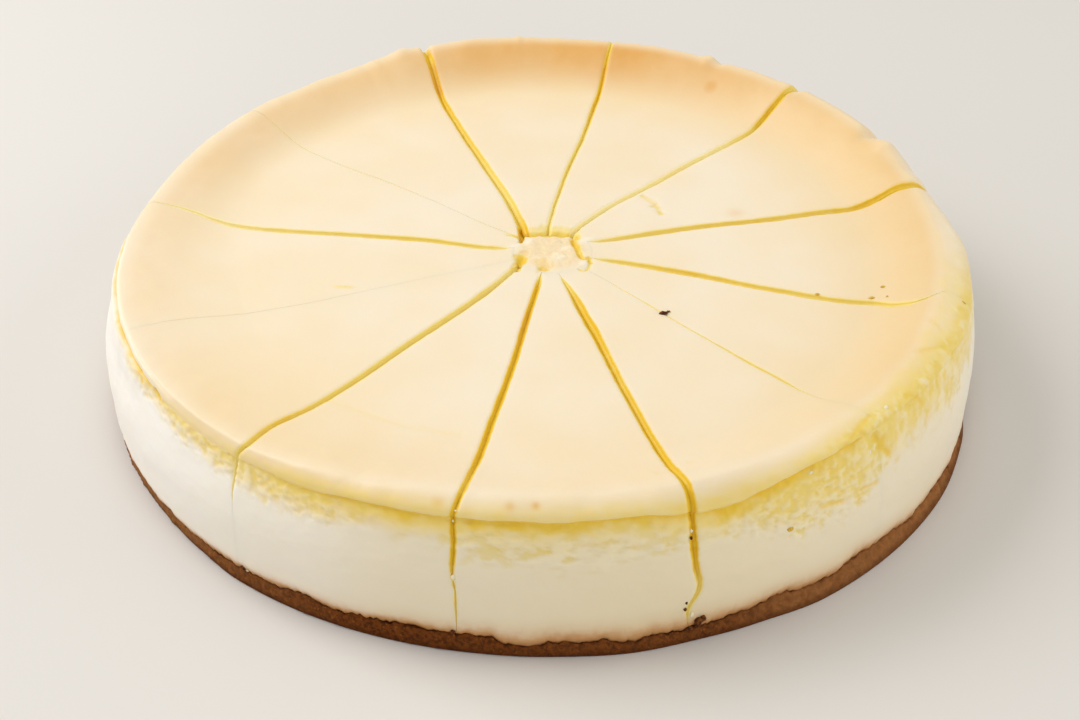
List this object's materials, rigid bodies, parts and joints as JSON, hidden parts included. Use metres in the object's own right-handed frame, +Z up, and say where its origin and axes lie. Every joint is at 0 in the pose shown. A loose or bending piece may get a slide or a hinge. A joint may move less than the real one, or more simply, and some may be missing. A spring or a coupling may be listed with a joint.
{
  "type": "baked cheesecake",
  "caption": "Round baked cheesecake with a dished golden top, a raised rim and a thin crumb base, cut into wedges that still stand together around a small core.",
  "frame": {"origin": "middle of the flat underside, on the surface that the cake stands on", "axes": "+Z up along the cake's axis; -Y towards the front, where the rim is low and the torn band under the lip shows; +X to the right"},
  "size_m": [0.254, 0.254, 0.0496],
  "materials": {
    "filling": "smooth baked custard, satin on top and matt on the side, with golden cut edges",
    "crumb": "pressed dark biscuit crumb, rough and matt"
  },
  "bodies": {
    "root": {"filling_01": "filling", "filling_02": "filling", "filling_03": "filling", "filling_04": "filling", "filling_05": "filling", "filling_06": "filling", "filling_07": "filling", "filling_08": "filling", "filling_09": "filling", "filling_10": "filling", "filling_11": "filling", "filling_12": "filling", "base_01": "crumb", "base_02": "crumb", "base_03": "crumb", "base_04": "crumb", "base_05": "crumb", "base_06": "crumb", "base_07": "crumb", "base_08": "crumb", "base_09": "crumb", "base_10": "crumb", "base_11": "crumb", "base_12": "crumb", "filling_core": "filling", "base_core": "crumb"}
  },
  "joints": []
}
